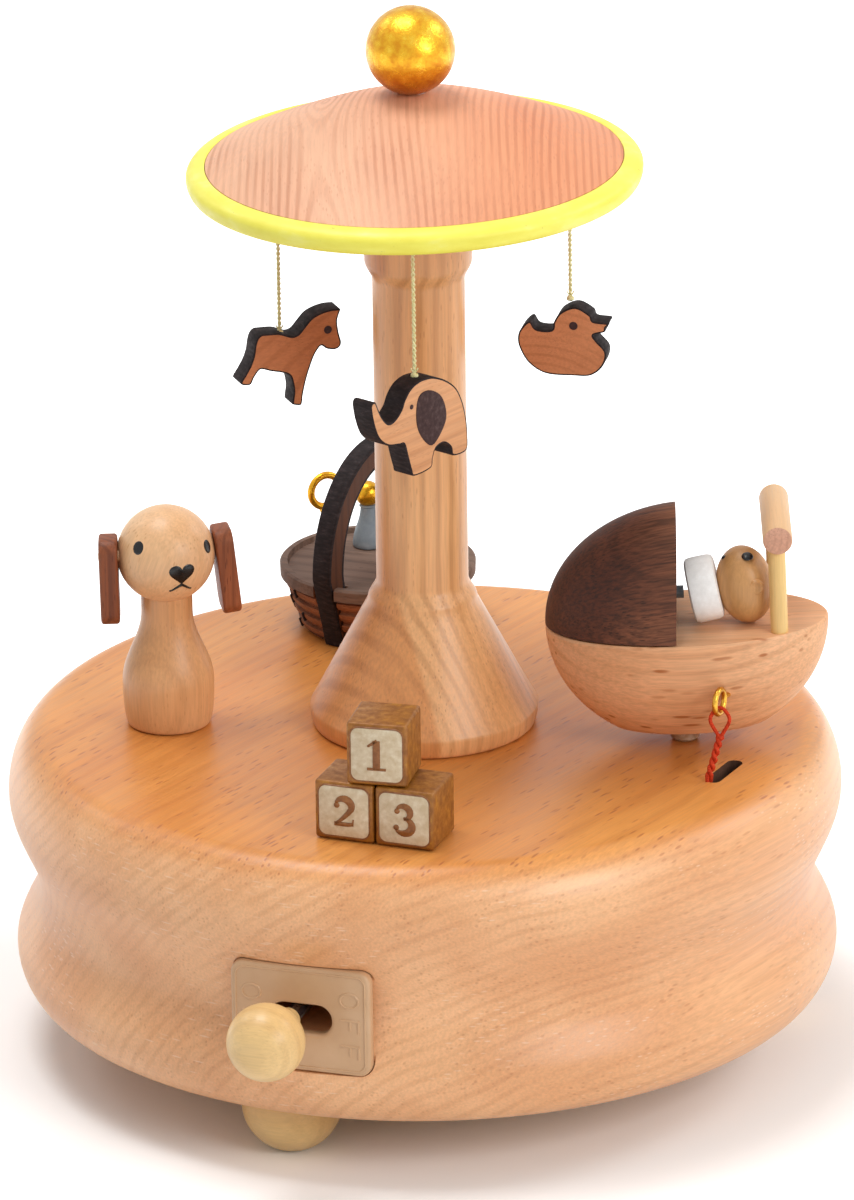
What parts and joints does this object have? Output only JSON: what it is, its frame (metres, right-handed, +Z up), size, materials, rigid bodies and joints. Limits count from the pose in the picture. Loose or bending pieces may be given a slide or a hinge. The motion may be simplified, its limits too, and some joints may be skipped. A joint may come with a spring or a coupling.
{
  "type": "music box",
  "caption": "Turned beech carousel music box with a revolving canopy of hanging animals over a pram, toy dog, toy basket and numbered blocks, wound by a key below.",
  "frame": {"origin": "centre of the bounding box at the bottom, on the plane the three ball feet stand on; the turning axis stands 4.9 mm behind it because the switch knob reaches forward", "axes": "+Z up along the pillar and canopy, -Y towards the front with the building blocks and the switch, +X towards the pram"},
  "size_m": [0.12, 0.1298, 0.1556],
  "materials": {
    "beech_base": "oiled, satin",
    "beech_canopy": "oiled, satin",
    "pale_wood": "oiled, satin",
    "walnut": "oiled, satin",
    "dark_brown_wood": "stained, matt",
    "ear_wood": "stained, satin",
    "plywood": "bare",
    "charm_wood": "laser cut, matt",
    "yellow_paint": "painted wood, satin",
    "gold_paint": "painted wood, mottled gold",
    "white_paint": "painted wood, matt",
    "grey_paint": "painted wood, matt",
    "beige_plastic": "moulded, satin",
    "clear_plastic": "translucent",
    "steel": "satin",
    "brass": "satin",
    "cast_zinc": "as cast",
    "gold_thread": "twisted metallic thread",
    "red_thread": "twisted cord"
  },
  "bodies": {
    "base": {"base_body": "beech_base", "base_cover": "plywood", "cover_screw_1": "steel", "cover_screw_2": "steel", "cover_screw_3": "steel", "foot_1": "pale_wood", "foot_2": "pale_wood", "foot_3": "pale_wood", "switch_plate": "beige_plastic", "bedplate": "cast_zinc", "comb": "steel", "comb_screw_1": "steel", "comb_screw_2": "steel", "governor_bracket": "brass", "rocker_pivot": "steel", "pillar": "beech_base", "pivot_washer": "clear_plastic", "pivot_pin": "steel", "dog_body": "pale_wood", "dog_head": "pale_wood", "dog_ear_left": "ear_wood", "dog_ear_right": "ear_wood", "basket_tub": "dark_brown_wood", "basket_handle": "dark_brown_wood", "toy_rattle": "pale_wood", "toy_doll_body": "grey_paint", "toy_doll_head": "gold_paint", "block_left": "gold_paint", "block_right": "gold_paint", "block_top": "gold_paint"},
    "carousel": {"spring_barrel": "brass", "mainspring": "steel", "output_shaft": "steel", "canopy": "beech_canopy", "canopy_rim": "yellow_paint", "finial_ball": "gold_paint"},
    "cylinder": {"pinned_cylinder": "brass"},
    "intermediate": {"intermediate_wheel": "brass"},
    "governor_rotor": {"governor": "brass"},
    "winding": {"winding_arbor": "steel", "winding_key": "cast_zinc"},
    "switch_lever": {"switch_knob": "pale_wood", "switch_arm": "steel"},
    "rocker": {"rocker_arm": "steel"},
    "pram": {"pram_bowl": "beech_base", "pram_hood": "walnut", "pram_post_near": "pale_wood", "pram_post_far": "pale_wood", "pram_bar": "pale_wood", "baby_head": "pale_wood", "baby_collar": "white_paint", "baby_body": "grey_paint", "screw_eye": "brass", "red_string": "red_thread"},
    "elephant_thread": {"thread_elephant": "gold_thread"},
    "elephant_charm": {"charm_elephant": "charm_wood"},
    "horse_thread": {"thread_horse": "gold_thread"},
    "horse_charm": {"charm_horse": "charm_wood"},
    "duck_thread": {"thread_duck": "gold_thread"},
    "duck_charm": {"charm_duck": "charm_wood"}
  },
  "joints": [
    {"name": "carousel_spin", "type": "hinge", "parent": "base", "child": "carousel", "pos_m": [0, 0.00492, 0.129], "axis": [0, 0, 1], "continuous": true},
    {"name": "cylinder_turn", "type": "hinge", "parent": "base", "child": "cylinder", "pos_m": [-0.0205, 0.00492, 0.0329], "axis": [-1, 0, 0], "continuous": true},
    {"name": "intermediate_turn", "type": "hinge", "parent": "base", "child": "intermediate", "pos_m": [-0.0205, -0.00199, 0.03039], "axis": [1, 0, 0], "continuous": true},
    {"name": "governor_spin", "type": "hinge", "parent": "base", "child": "governor_rotor", "pos_m": [-0.01185, -0.00749, 0.0245], "axis": [0, 0, 1], "continuous": true},
    {"name": "key_wind", "type": "hinge", "parent": "base", "child": "winding", "pos_m": [0, 0.00492, 0.0046], "axis": [0, 0, 1], "continuous": true},
    {"name": "switch_lever", "type": "hinge", "parent": "base", "child": "switch_lever", "pos_m": [-0.00912, -0.02366, 0.0253], "axis": [0, 0, 1], "range_deg": [-3, 9]},
    {"name": "pram_swivel", "type": "hinge", "parent": "base", "child": "pram", "pos_m": [0.0373, -0.00358, 0.0499], "axis": [0, 0, 1], "range_deg": [0, 10.4], "deforming": ["red_string"]},
    {"name": "rocker_swing", "type": "hinge", "parent": "base", "child": "rocker", "pos_m": [0.0178, -0.00419, 0.0382], "axis": [0, 0, 1], "range_deg": [0, 17.4]},
    {"name": "elephant_sway", "type": "hinge", "parent": "carousel", "child": "elephant_thread", "pos_m": [-0.00042, -0.01908, 0.1294], "axis": [-0.9998, 0.0175, 0], "range_deg": [-5, 25]},
    {"name": "elephant_twist", "type": "hinge", "parent": "elephant_thread", "child": "elephant_charm", "pos_m": [-0.00042, -0.01908, 0.1085], "axis": [0, 0, 1], "range_deg": [-90, 90]},
    {"name": "horse_sway", "type": "hinge", "parent": "carousel", "child": "horse_thread", "pos_m": [-0.02099, 0.01656, 0.1294], "axis": [0.4848, 0.8746, 0], "range_deg": [-5, 25]},
    {"name": "horse_twist", "type": "hinge", "parent": "horse_thread", "child": "horse_charm", "pos_m": [-0.02099, 0.01656, 0.1025], "axis": [0, 0, 1], "range_deg": [-90, 90]},
    {"name": "duck_sway", "type": "hinge", "parent": "carousel", "child": "duck_thread", "pos_m": [0.02099, 0.01656, 0.1294], "axis": [0.4848, -0.8746, 0], "range_deg": [-5, 25]},
    {"name": "duck_twist", "type": "hinge", "parent": "duck_thread", "child": "duck_charm", "pos_m": [0.02099, 0.01656, 0.1071], "axis": [0, 0, 1], "range_deg": [-90, 90]}
  ],
  "couplings": [
    {"joint": "cylinder_turn", "follows": "carousel_spin", "ratio": 2},
    {"joint": "intermediate_turn", "follows": "carousel_spin", "ratio": 8},
    {"joint": "governor_spin", "follows": "carousel_spin", "ratio": 160},
    {"joint": "rocker_swing", "follows": "pram_swivel", "ratio": 1.6667}
  ]
}
